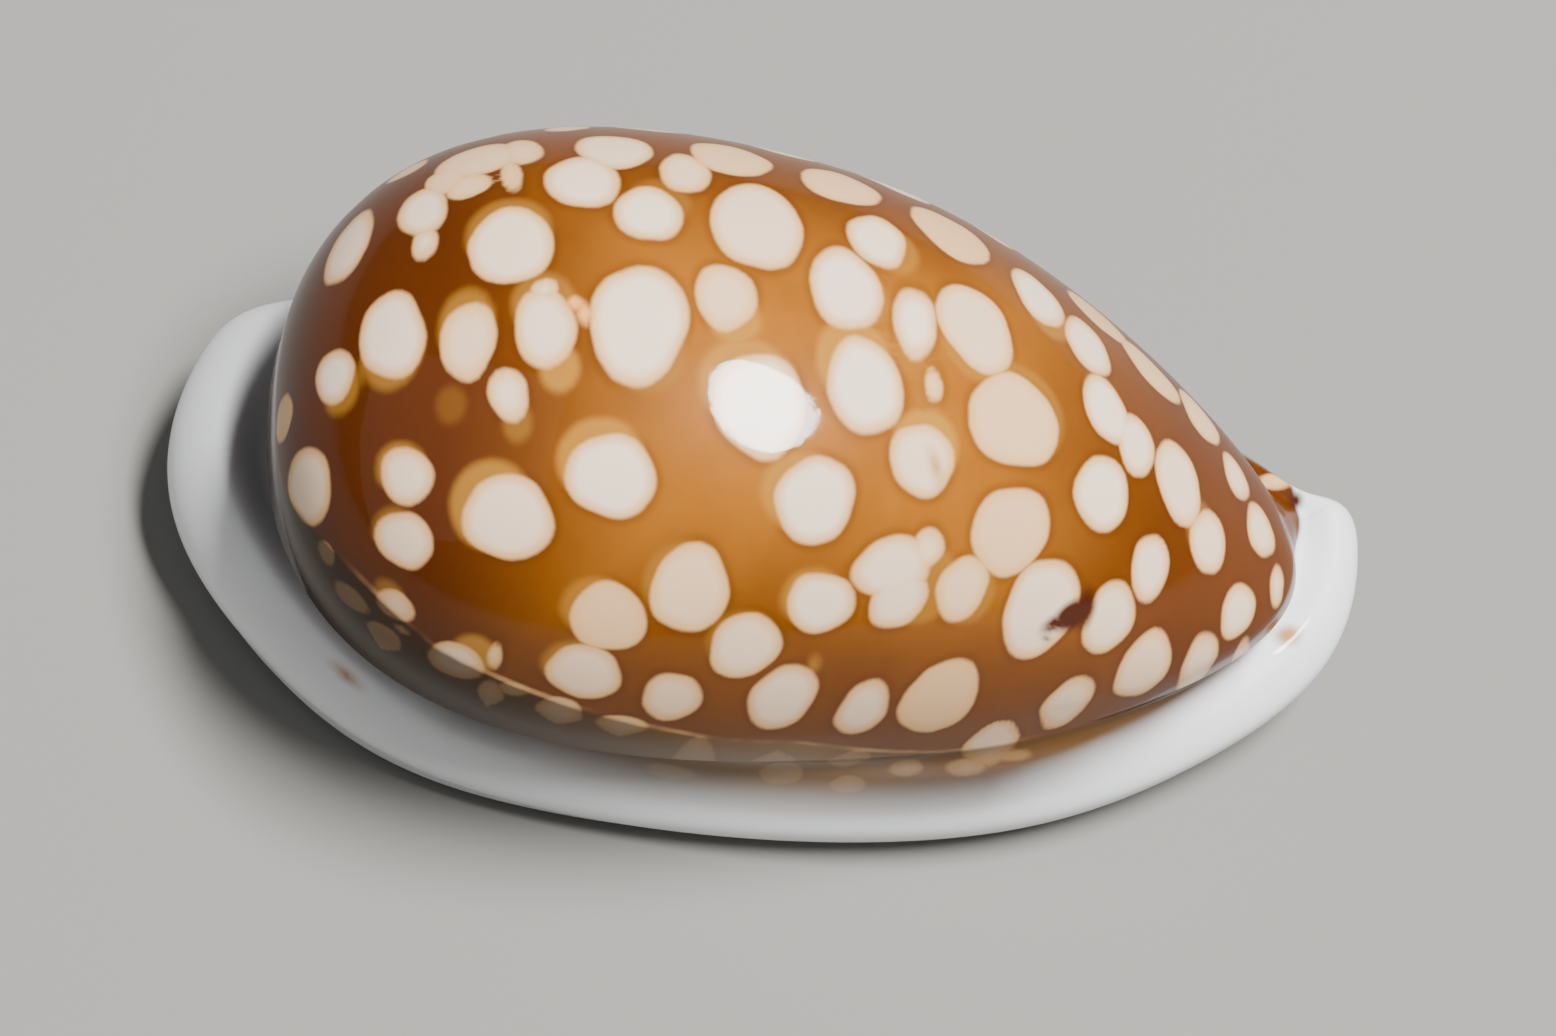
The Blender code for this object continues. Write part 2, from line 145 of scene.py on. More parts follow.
# ---------------------------------------------------------------- markings
# Pale spots: station mm, girth degrees, length mm along the shell, span in degrees round it, turn in
# degrees, and how creamy: 0 white, 1 peach.
SPOTS = (
    # spire end, over the top
    (-11.3, 38.5, 1.0, 28, -25, 0.3), (-9.75, 32, 1.15, 17, 0, 0.2), (-9.7, 21.5, 0.6, 11, 0, 0.3),
    (-9.2, 41, 1.0, 11, 0, 0.7), (-8.45, 45, 1.9, 15, 0, 0.7), (-7.4, 43.5, 1.0, 12, 0, 0.7),
    (-8.75, 35.5, 1.0, 9, 0, 0.7), (-7.7, 34.5, 0.5, 12, 0, 0.7), (-7.75, 15.3, 2.0, 19, 0, 0.25),
    (-6.1, 29.7, 1.7, 16.5, 0, 0.2), (-5.3, 41, 1.9, 14, 0, 0.4), (-10.4, -2, 1.45, 25, 10, 0.15),
    (-11.55, -11.5, 0.8, 20, 12, 0.1), (-8.7, -6.5, 1.3, 17.5, 0, 0.55),
    (-6.95, -4.6, 1.4, 17, 0, 0.25), (-6.95, 3.3, 0.65, 5, 0, 0.3), (-7.8, -18, 0.9, 11, 20, 0.3),
    (-4.85, -3, 2.2, 24.5, 0, 0.1),
    # middle, over the top
    (-4.6, 20, 1.55, 14.5, 0, 0.15), (-3.7, 33, 1.25, 13, 0, 0.5), (-2.5, 40.5, 2.05, 14, 0, 0.8),
    (-2.1, 20.5, 2.3, 21, 0, 0.4), (-2.95, 3, 1.4, 14, 0, 0.6), (0.15, 37, 2.05, 14, 0, 0.8),
    (0.85, 21, 1.5, 14, 0, 0.15), (-0.05, 8.3, 1.7, 18.5, 0, 0.1), (1.55, 3, 1.1, 15.5, 0, 0.1),
    (0.35, -10.3, 1.8, 18, 0, 0.05), (2.05, -8.6, 0.45, 7, 0, 0.4), (-2.1, -16, 2.1, 19, 0, 0.0),
    # front, over the top
    (2.9, 32, 2.1, 17, 0, 0.9), (3.15, 6.5, 1.95, 20, 0, 0.5), (5.1, 26, 1.45, 17, 0, 0.2),
    (6.45, 21.5, 1.35, 18, 0, 0.25), (7.0, 43, 1.6, 16, 0, 0.9), (8.5, 38.5, 1.7, 20, 0, 0.8),
    (9.9, 43, 1.25, 28, 0, 0.7), (6.7, 2.5, 1.4, 19, 0, 0.1), (7.65, -3, 1.1, 21, 0, 0.2),
    (4.1, -10, 2.35, 20, 0, 0.75), (1.8, -22.5, 1.55, 13.5, 0, 0.35), (4.2, -33, 2.1, 17.5, 0, 0.75),
    (6.65, -21, 1.6, 19, 0, 0.15), (8.95, -7, 1.4, 33, 0, 0.35), (9.75, -26, 1.1, 30, 0, 0.35),
    (10.9, 27, 0.85, 33, 0, 0.4), (11.6, -4, 0.9, 55, 0, 0.35), (12.8, 106.8, 0.9, 9, 0, 0.6),
    # outer-lip side, spire end
    (-12.0, -48, 0.95, 26.5, 0, 0.3), (-9.9, -37, 1.2, 12.5, 0, 0.3), (-9.9, -50.5, 1.25, 13, 0, 0.35),
    (-7.7, -41.3, 1.95, 16.5, 0, 0.3), (-9.85, -66, 0.85, 8, 0, 0.6), (-11.5, -64, 0.4, 7, 0, 0.9),
    (-8.45, -73.5, 1.25, 10, 0, 0.4), (-7.65, -69.5, 0.35, 6, 0, 0.5), (-7.0, -76, 0.8, 3.5, 0, 0.6),
    (-6.0, -78.5, 1.1, 8, 0, 0.5), (-9.75, -72, 0.45, 2.2, 0, 0.8),
    # outer-lip side, middle
    (-5.4, -31, 2.0, 15, 0, 0.1), (-3.4, -49, 1.9, 15.5, 0, 0.6), (-5.25, -55.5, 1.8, 13, 0, 0.8),
    (-1.95, -58, 1.75, 13, 0, 0.45), (-0.75, -31, 1.95, 14.5, 0, 0.1), (-0.35, -49, 1.6, 12, 0, 0.2),
    (1.25, -41.5, 1.95, 11.5, 0, 0.3), (1.55, -47.5, 1.4, 13, 0, 0.35), (2.1, -37, 0.8, 8, 0, 0.4),
    (-5.55, -68, 1.75, 12.5, 0, 0.45), (-3.5, -71.5, 1.35, 12.5, 0, 0.5),
    (-0.8, -70, 1.65, 16.5, 0, 0.35), (1.15, -73.5, 1.3, 15.5, 0, 0.4), (3.1, -71, 1.85, 23, 0, 0.85),
    (-4.5, -82, 1.2, 7, 0, 0.5), (-2.5, -90, 1.15, 16, 0, 0.5), (-0.65, -86, 1.1, 8, 0, 0.5),
    (1.25, -92.5, 1.05, 10, 0, 0.5), (2.8, -97, 0.9, 5, 0, 0.5), (4.35, -97, 1.0, 5, 0, 0.6),
    # outer-lip side, front
    (3.1, -45, 1.3, 13.5, 0, 0.6), (5.25, -49, 2.05, 23, 0, 0.3), (7.1, -52.5, 1.45, 20, 0, 0.3),
    (8.1, -38, 1.15, 20, 0, 0.25), (12.1, -52, 0.5, 41, 0, 0.3), (10.9, -58.5, 1.1, 28.5, 0, 0.3),
    (11.3, -86, 0.5, 30, 0, 0.5), (8.35, -71.5, 1.55, 25.5, 0, 0.5), (10.0, -83, 1.05, 30, 0, 0.4),
    (6.5, -84, 1.35, 21, 0, 0.45), (4.8, -85.5, 1.35, 18, 0, 0.5),
    # faint ones under the veil
    (-12.6, -22, 0.3, 30, 0, 0.9), (-10.85, -71.5, 0.8, 7, 0, 0.8), (-7.55, -81, 0.65, 8.5, 0, 0.7),
    (-10.1, -78.5, 0.8, 9, 0, 1.0), (-6.1, -98, 1.1, 8, 0, 0.8), (-5.0, -98, 0.8, 8, 0, 0.8),
    (-0.15, -101.5, 1.05, 8.5, 0, 0.6), (-2.8, -108, 1.2, 4.5, 0, 0.6), (1.55, -102, 0.85, 6, 0, 0.6),
    (5.5, -96.5, 0.9, 3, 0, 0.8),
)
# Older, deeper spots that show through beside the pale ones: station, girth, length, span, strength.
GHOSTS = (
    (-10.35, -6.5, 1.5, 25, 0.6), (-11.45, -15, 0.85, 20, 0.6), (-8.7, -3.5, 1.4, 20, 0.6),
    (-6.75, -13, 1.05, 11, 0.9), (-7.1, 0.5, 1.6, 15, 0.5), (-7.6, -24, 0.8, 9, 0.4),
    (-9.0, -20, 0.8, 10, 0.2), (-4.7, -6, 2.1, 22, 0.4), (-2.85, -1, 1.4, 12, 0.9),
    (-2.4, -13, 2.5, 17, 0.8), (0.1, -7, 2.0, 18, 0.9), (1.85, -19.5, 1.8, 15, 1.0),
    (0.1, 7, 1.9, 17, 0.5), (1.1, 19, 1.6, 14, 0.5), (3.3, 3.5, 2.0, 18, 0.5), (1.6, -2, 1.0, 14, 0.4),
    (-5.65, -29, 2.15, 16, 0.9), (-1.0, -30, 2.15, 14.5, 0.8), (-7.95, -39, 2.0, 18.5, 0.8),
    (-10.05, -35, 1.25, 13, 0.7), (-3.6, -48, 2.0, 15, 0.5), (-5.45, -54, 1.75, 12.5, 0.6),
    (-10.05, -49, 1.2, 12.5, 0.5), (-10.1, -64, 0.8, 8, 0.5), (-8.05, -69.5, 1.15, 10, 0.9),
    (-0.55, -48, 1.65, 12, 0.7), (-2.1, -57.5, 1.8, 13, 0.4), (-5.75, -66.5, 1.7, 11.5, 0.6),
    (2.0, -45, 2.0, 17, 0.5), (-0.3, -62, 0.45, 6, 0.6),
    (4.3, -8, 2.4, 22, 0.4), (6.75, 5.5, 1.3, 16, 0.4), (5.3, 22, 1.4, 16, 0.5),
    (3.3, -46, 1.5, 14, 0.5), (-4.4, 24, 1.6, 14, 0.3), (-7.85, 18, 2.1, 20, 0.5),
    (9.6, -22, 1.1, 28, 0.4), (1.9, -9, 0.8, 16, 0.25), (8.9, -3, 1.2, 25, 0.3),
)
# Marks of age: station, girth, length, span, turn, and which mark.
MARK_NAMES = ("dark", "tan", "glow")
DARK, TAN, GLOW = MARK_NAMES
MARKS = (
    (6.4, -49, 0.5, 11, 0, DARK), (6.0, -51, 1.0, 8, 20, DARK), (5.65, -53, 0.8, 4.5, 20, DARK),
    (5.45, -56.5, 0.2, 1.5, 0, DARK), (2.15, -22.5, 0.3, 5.5, 20, TAN),
    (12.8, -116, 0.7, 18, 20, TAN), (12.35, -112.5, 0.4, 6, 35, TAN),
    (-10.55, -126, 0.6, 2.5, -30, TAN), (-6.15, -2, 0.35, 5, 0, GLOW), (-6.3, 0.5, 0.3, 3, 0, GLOW),
    (13.3, 109, 0.35, 11, 0, DARK),
)
# Spots of the columella side, spread by chance.
FILL_SEED = 7
FILL_STATIONS = (-11.8, 12.0)
FILL_GIRTHS = (50.0, 112.0)
FILL_SIZES = (1.05, 2.1)            # smallest and largest, mm
FILL_SMALLNESS = 1.5                # 1 spreads the sizes evenly, and more than 1 favours small ones
FILL_SPANS = (0.8, 1.1)             # how wide they are, against their length
FILL_TURNS = (-30.0, 30.0)
FILL_CREAMS = (0.1, 0.8)
FILL_GAP = 0.42                     # mm, from one to the next
FILL_TRIES = 6000
FILL_STEEPEST = 0.05                # floor of the squared cosine of the surface's slant to the long axis
USUAL_RADIUS = 7.0                  # mm, of the back round the shell's long axis
SPOT_WOBBLE = ((2, 0.045), (3, 0.035), (5, 0.015))      # waves round a spot, and their heights
# The milky veil: stations and girths of the line where it begins on the outer-lip side.
VEIL_STATIONS = (-11.5, -9.0, -6.0, -2.0, 0.0, 2.0, 3.6, 6.4, 9.0, 10.4, 11.5)
VEIL_GIRTHS = (-62.0, -72.0, -76.5, -82.5, -84.0, -89.0, -92.5, -93.0, -94.0, -98.0, -103.0)
VEIL_FAR_GIRTH = 88.0               # and the girth where it begins on the columella side
VEIL_ROUNDING = 2.0                 # mm, how widely the two are joined round the spire end
VEIL_TIP_STATIONS = (10.5, 12.2)    # where it ends short of the front tip
VEIL_LINE_START = (-11.4, -10.0)    # stations where the pale line along its start fades in
VEIL_LINE_END = (4.5, 6.5)          # and where it fades out
VEIL_SHADE_STATIONS = (1.0, -8.0)    # it is milky at the first station and painted dark from the second, as shade in the tuck above the margin
VEIL_FRONT_SHADE_STATIONS = (0.0, 4.0)    # and painted darker again towards the front, as shade
VEIL_FRONT_SHADE = 0.7                    # by this share
VEIL_MILK = (0.1, 1.0)              # mm in from its start where the milk sets in, and where it is full
# The porcelain white of the margin reaches higher at both ends, by these many control rings.
WHITE_STATIONS = (-11.0, -8.0, 5.0, 6.2, 7.7, 9.0, 11.5, 12.3, 13.0)
WHITE_HIGHER = (0.6, 0.1, 0.0, 0.3, 0.5, 0.45, 0.6, 1.2, 1.6)
# By the front tip on the columella side the brown runs down over the roll instead: the girths where
# that sets in and where it ends, and how much higher the white reaches there, below 0 for lower.
WHITE_FAR_GIRTHS = (60.0, 90.0)
WHITE_FAR_ENDS = (112.0, 124.0)
WHITE_FAR_STATIONS = (10.5, 11.7, 13.15, 13.4)
WHITE_FAR_HIGHER = (0.0, -1.0, -1.0, 1.4)
# The brown is lighter at the first number of each pair and darker, by the share below it, at the second:
# partly thicker pigment, partly painted shade towards both ends and down both sides.
THICK_SHADE_STATIONS = (-2.5, -9.5)       # towards the spire end
THICK_SHADE_SPIRE = 1.0
THICK_SHADE_FRONT_STATIONS = (1.0, 9.5)   # towards the front tip
THICK_SHADE_FRONT = 0.9
THICK_SHADE_GIRTHS = (-25.0, -70.0)       # down the outer-lip side
THICK_SHADE_SIDE = 0.75
THICK_SHADE_FAR_GIRTHS = (-5.0, 40.0)     # down the columella side
THICK_SHADE_FAR_SIDE = 0.8
GROUPS = 4                          # sets of spots that the material reads one by one
GROUP_APART = 3.2                   # mm, two centres' distances from each other's edges, added up
FAR = 4.0                           # mm, a distance that no marking's edge reaches


def linear(code):
    """An sRGB hex colour as linear red, green, blue and alpha."""
    parts = [int(code[i:i + 2], 16) / 255.0 for i in (1, 3, 5)]
    return [p / 12.92 if p <= 0.04045 else ((p + 0.055) / 1.055)**2.4 for p in parts] + [1.0]


# ---------------------------------------------------------------- form
def around(values, angle):
    """Smooth closed curve through equally spaced values, read at the compass angles."""
    knots = np.asarray(values, float)
    count = len(knots)
    step = TURN / count
    matrix = 4.0 * np.eye(count) + np.roll(np.eye(count), 1, 0) + np.roll(np.eye(count), -1, 0)
    bend = np.roll(knots, -1, 0) - 2.0 * knots + np.roll(knots, 1, 0)
    curvature = np.linalg.solve(matrix, 6.0 / step**2 * bend)
    place = (np.asarray(angle) % TURN) / step
    low = np.floor(place).astype(int)
    along = place - low
    low %= count
    high = (low + 1) % count
    if knots.ndim == 2:
        along = along[:, None]
    back = 1.0 - along
    curved = (back**3 - back) * curvature[low] + (along**3 - along) * curvature[high]
    return back * knots[low] + along * knots[high] + step**2 / 6.0 * curved


def compass_lines():
    """Compass angles of the lines, a little crowded along the long sides."""
    even = np.arange(LINES) * TURN / LINES
    return even + CROWDING[0] * np.sin(2.0 * even) + CROWDING[1] * np.cos(even)


def back_point(angle, rise, shrink=0.0):
    """Point on the domed back: rise is 0 at the widest girth and a quarter turn at the top."""
    ahead = np.cos(rise) * np.cos(angle)
    side = np.cos(rise) * np.sin(angle)
    up = np.sin(rise) * np.ones_like(angle)
    to_front = 0.5 + 0.5 * ahead
    power = 2.0 + BACK_FULLNESS[0] + (BACK_FULLNESS[1] - BACK_FULLNESS[0]) * to_front
    swell = (np.abs(ahead)**power + np.abs(side)**power + np.abs(up)**power)**(-1.0 / power)
    ahead, side, up = ahead * swell, side * swell, up * swell
    front = np.maximum(ahead, 0.0)
    columella = 0.5 + 0.5 * np.tanh(side / BACK_SIDE_BLEND)
    half_width = BACK_HALF_WIDTH[0] + (BACK_HALF_WIDTH[1] - BACK_HALF_WIDTH[0]) * columella - shrink
    narrowing = 1.0 - BACK_TAPER_SIDE[0] * ahead - BACK_TAPER_SIDE[1] * ahead**2
    height = (BACK_RISE - shrink) * (1.0 - BACK_TAPER_TOP[0] * ahead - BACK_TAPER_TOP[1] * front**2)
    x = BACK_MIDDLE[0] + (BACK_HALF_LENGTH - shrink) * ahead
    y = BACK_MIDDLE[1] + BACK_LEAN * front**2 + half_width * side * narrowing
    z = BACK_WIDEST_LEVEL - BACK_LEVEL_FALL * ahead + height * up
    return np.stack([x, y, z], -1)


def inward_of(curve):
    """Level unit vectors that point into a closed curve that runs anticlockwise."""
    run = np.roll(curve, -1, 0) - np.roll(curve, 1, 0)
    across = np.stack([-run[:, 1], run[:, 0], np.zeros(len(run))], -1)
    return across / np.linalg.norm(across, axis=1, keepdims=True)


def soft_min(first, second):
    """Smaller of two positive lengths, rounded where they cross."""
    return (first**-CORNER_POWER + second**-CORNER_POWER)**(-1.0 / CORNER_POWER)


def mouth_angle(angle):
    """The mouth's own compass angle: 0 at its front end, half a turn at its spire end."""
    return angle + np.radians(MOUTH_TURN[0]) - np.radians(MOUTH_TURN[1]) * np.cos(angle)


def mouth_line(angle, spread=0.0, draw_in=0.0):
    """Closed curve round the mouth, spread out from its edge and drawn in from its two ends."""
    own = mouth_angle(angle)
    middle = 0.5 * (MOUTH_REACH[0] + MOUTH_REACH[1])
    reach = 0.5 * (MOUTH_REACH[1] - MOUTH_REACH[0]) - draw_in
    x = middle + reach * np.cos(own)
    to_front = 0.5 + 0.5 * np.cos(own)
    half = MOUTH_HALF_WIDTH[0] + (MOUTH_HALF_WIDTH[1] - MOUTH_HALF_WIDTH[0]) * to_front + spread
    side = np.tanh(MOUTH_BLUNTNESS * np.sin(own)) / np.tanh(MOUTH_BLUNTNESS)
    offset, bow, hook = MOUTH_BOW
    off_straight = x - MOUTH_STRAIGHTEST
    y = offset + bow * off_straight**2 + hook * off_straight**4
    slope = 2.0 * bow * off_straight + 4.0 * hook * off_straight**3
    width = half * side / np.sqrt(1.0 + slope**2)
    return np.stack([x - slope * width, y + width, np.zeros_like(x)], -1)


def canal_share(angle, place, half_width):
    """1 in the middle of a canal, falling smoothly to 0 at its sides."""
    off = (np.degrees(angle) - place + 180.0) % 360.0 - 180.0
    return np.exp(-(off / half_width)**2)


def canal_roof(angle, level):
    """Underside level, raised to the canals' roofs where they leave the mouth."""
    for place, half_width, roof, _ in CANALS:
        share = canal_share(angle, place, half_width)
        level = level + (np.maximum(roof, level) - level) * share
    return level


def notch_depth(angle):
    """How far the margin's edge is drawn in where the two canals leave it."""
    depth = np.zeros_like(angle)
    for place, half_width, _, notch in CANALS:
        depth = depth + notch * canal_share(angle, place, half_width)
    return depth[:, None]


def at_level(points, level):
    """The points, moved up or down to a level."""
    moved = points.copy()
    moved[:, 2] = level
    return moved


def control_rings(angle):
    """Rings that the surface passes through, from the widest girth to the hollow's widest girth."""
    whole_edge = around(EDGE, angle)
    inward = inward_of(whole_edge)
    edge = whole_edge + notch_depth(angle) * inward
    girth = back_point(angle, 0.0)
    foot = whole_edge + around(ROLL_WIDTH, angle)[:, None] * inward
    foot = at_level(foot, whole_edge[:, 2] + around(FOOT_RISE, angle))
    flank = 0.5 * (girth + foot) + FLANK_TUCK * inward
    crown = at_level(edge + CREST_PLACE * (foot - edge), edge[:, 2] + around(CREST_RISE, angle))

    mouth = mouth_line(angle)
    across = at_level(mouth - edge, 0.0)
    span = np.linalg.norm(across, axis=1, keepdims=True)
    across /= span
    lift = BASE_END_LIFT * np.abs(np.cos(angle))**BASE_END_POWER
    under = edge + soft_min(UNDER_EDGE[0], UNDER_EDGE[1] * span) * across
    under = at_level(under, canal_roof(angle, UNDER_EDGE_LEVEL * edge[:, 2]))
    heel = edge + soft_min(HEEL[0], HEEL[1] * span) * across
    heel = at_level(heel, canal_roof(angle, lift - HEEL_SINK))
    sole = mouth - soft_min(SOLE[0], SOLE[1] * span) * across
    sole = at_level(sole, canal_roof(angle, SOLE_LIFT_SHARE * lift - SOLE_SINK))
    brow = mouth - soft_min(BROW[0], BROW[1] * span) * across
    brow = at_level(brow, canal_roof(angle, BROW_LEVEL))
    lip = at_level(mouth, canal_roof(angle, LIP_LEVEL))

    lip_inner = at_level(mouth_line(angle, LIP_SPREAD, LIP_DRAW_IN), LIP_DEPTH)
    hollow_girth = back_point(angle, 0.0, WALL)
    floor = at_level(lip_inner + FLOOR_PLACE * (hollow_girth - lip_inner), LIP_DEPTH + FLOOR_RISE)
    side = lip_inner + SIDE_PLACE * (hollow_girth - lip_inner)
    side = at_level(side, LIP_DEPTH + SIDE_LEVEL * (hollow_girth[:, 2] - LIP_DEPTH))
    return [girth, flank, foot, crown, edge, under, heel, sole, brow, lip,
            lip_inner, floor, side, hollow_girth]


def between(before, start, end, after, share):
    """Catmull-Rom point between the start and end rings."""
    return 0.5 * (2.0 * start + (end - before) * share
                  + (2.0 * before - 5.0 * start + 4.0 * end - after) * share**2
                  + (3.0 * start - before - 3.0 * end + after) * share**3)


def shell_rows():
    """Rings from the top of the back to the top of the hollow, and each ring's place on the way:
    below 0 on the back, then 0 at the widest girth and 1 more at each control ring."""
    angle = compass_lines()
    rows, places = [], []
    for step in range(BACK_RINGS, 0, -1):
        rise = GIRTH_STEP + (QUARTER - GIRTH_STEP) * (step - 1) / BACK_RINGS
        rows.append(back_point(angle, rise))
        places.append(-rise / QUARTER)
    above, above_hollow = back_point(angle, GIRTH_STEP), back_point(angle, GIRTH_STEP, WALL)
    controls = [above] + control_rings(angle) + [above_hollow]
    for index, steps in enumerate(RINGS_BETWEEN):
        for step in range(steps):
            ring = between(*controls[index:index + 4], step / steps)
            rows.append(at_level(ring, np.maximum(ring[:, 2], 0.0)))
            places.append(index + step / steps)
    rows.append(controls[-2])
    places.append(float(len(RINGS_BETWEEN)))
    for step in range(HOLLOW_RINGS):
        rise = GIRTH_STEP + (QUARTER - GIRTH_STEP) * step / HOLLOW_RINGS
        rows.append(back_point(angle, rise, WALL))
        places.append(len(RINGS_BETWEEN) + 1.0)
    return angle, rows, places


def shell_mesh(length):
    """The closed surface as a mesh of this length in metres, with what its markings need to know."""
    angle, rows, places = shell_rows()
    top = back_point(np.zeros(1), QUARTER)
    hollow_top = back_point(np.zeros(1), QUARTER, WALL)
    points = np.concatenate([top] + rows + [hollow_top])
    low, high = points.min(0), points.max(0)
    shift = np.array([(low[0] + high[0]) / 2.0, (low[1] + high[1]) / 2.0, 0.0])
    scale = length / MM / (high[0] - low[0])
    points = (points - shift) * scale

    around_ring = np.arange(LINES)
    following = (around_ring + 1) % LINES
    faces = [(0, 1 + i, 1 + (i + 1) % LINES) for i in range(LINES)]
    for ring in range(len(rows) - 1):
        upper = 1 + ring * LINES
        lower = upper + LINES
        corners = (upper + around_ring, lower + around_ring, lower + following, upper + following)
        faces += np.stack(corners, -1).tolist()
    innermost = 1 + (len(rows) - 1) * LINES
    peak = innermost + LINES
    faces += [(innermost + i, peak, innermost + (i + 1) % LINES) for i in range(LINES)]
    mesh = bpy.data.meshes.new("Shell")
    mesh.from_pydata((points * MM).tolist(), [], faces)
    mesh.shade_smooth()

    place = np.concatenate([[-1.0], np.repeat(places, LINES), [len(RINGS_BETWEEN) + 1.0]])
    compass = np.concatenate([[0.0], np.tile(angle, len(rows)), [0.0]])
    normals = np.zeros(len(points) * 3)
    mesh.vertex_normals.foreach_get("vector", normals)
    ahead = np.clip((points[:, 0] / scale + shift[0] - BACK_MIDDLE[0]) / BACK_HALF_LENGTH, -1.0, 1.0)
    axis_y = (BACK_MIDDLE[1] + BACK_LEAN * np.maximum(ahead, 0.0)**2 - shift[1]) * scale
    axis_z = (BACK_WIDEST_LEVEL - BACK_LEVEL_FALL * ahead) * scale
    out = np.stack([points[:, 1] - axis_y, points[:, 2] - axis_z], -1)
    skin = {
        "points": points, "normals": normals.reshape(-1, 3), "place": place, "compass": compass,
        "girth": np.degrees(np.arctan2(out[:, 0], out[:, 1])), "radius": np.hypot(out[:, 0], out[:, 1]),
        "outside": place <= EDGE_RING,
    }
    return mesh, skin


# ---------------------------------------------------------------- markings
def spot_centre(skin, station, girth):
    """Number of the outside point nearest to a station and girth angle."""
    off_station = skin["points"][:, 0] - station
    off_girth = np.radians(skin["girth"] - girth) * skin["radius"]
    return int(np.argmin(np.where(skin["outside"], off_station**2 + off_girth**2, np.inf)))


def patch(skin, station, girth, length, span, turn=0.0, waves=()):
    """Distance in mm from the edge of an oval patch on the surface, below 0 inside it."""
    middle = spot_centre(skin, station, girth)
    normal = skin["normals"][middle]
    along = np.array([1.0, 0.0, 0.0]) - normal[0] * normal
    steepness = np.linalg.norm(along)
    along /= steepness
    across = np.cross(normal, along)
    half_length = 0.5 * length / steepness
    half_span = 0.5 * np.radians(span) * skin["radius"][middle]
    offset = skin["points"] - skin["points"][middle]
    u, v = offset @ along, offset @ across
    bend = np.linalg.norm(offset, axis=1) / (np.hypot(u, v) + TINY)
    cos, sin = np.cos(np.radians(turn)), np.sin(np.radians(turn))
    u, v = (cos * u + sin * v) * bend / half_length, (cos * v - sin * u) * bend / half_span
    direction = np.arctan2(v, u)
    edge = 1.0 + sum(height * np.sin(count * direction + phase) for count, height, phase in waves)
    return (np.hypot(u, v) / edge - 1.0) * min(half_length, half_span)


def filled_spots(skin, chance):
    """Spots for the columella side, spread by chance with the sizes and gaps of the listed ones."""
    centres = [skin["points"][spot_centre(skin, station, girth)] for station, girth, *_ in SPOTS]
    reaches = [0.5 * max(length, np.radians(span) * USUAL_RADIUS) for _, _, length, span, *_ in SPOTS]
    made = []
    for _ in range(FILL_TRIES):
        station = chance.uniform(*FILL_STATIONS)
        girth = chance.uniform(*FILL_GIRTHS)
        size = FILL_SIZES[0] + (FILL_SIZES[1] - FILL_SIZES[0]) * chance.random()**FILL_SMALLNESS
        middle = spot_centre(skin, station, girth)
        centre = skin["points"][middle]
        apart = [np.linalg.norm(centre - other) - reach for other, reach in zip(centres, reaches)]
        if min(apart) < 0.5 * size + FILL_GAP:
            continue
        normal = skin["normals"][middle]
        steepness = np.sqrt(max(1.0 - normal[0]**2, FILL_STEEPEST))
        span = np.degrees(size / skin["radius"][middle]) * chance.uniform(*FILL_SPANS)
        turn = chance.uniform(*FILL_TURNS)
        made.append((station, girth, size * steepness, span, turn, chance.uniform(*FILL_CREAMS)))
        centres.append(centre)
        reaches.append(0.5 * size)
    return made


def smooth(low, high, value):
    """0 below low, 1 above high, and a smooth step between them."""
    share = np.clip((value - low) / (high - low), 0.0, 1.0)
    return share * share * (3.0 - 2.0 * share)


def grouped(distances, middles):
    """Splits patches into groups whose members stand well apart, and gives each patch's group.

    Neighbours that nearly touch are carried by different groups, so the gap between them stays crisp
    where it is narrower than the mesh."""
    groups = []
    for number, middle in enumerate(middles):
        near = [other for other in range(number)
                if distances[other][middle] + distances[number][middles[other]] < GROUP_APART]
        taken = {groups[other] for other in near}
        free = [group for group in range(GROUPS) if group not in taken]
        groups.append(free[0] if free else number % GROUPS)
    return groups


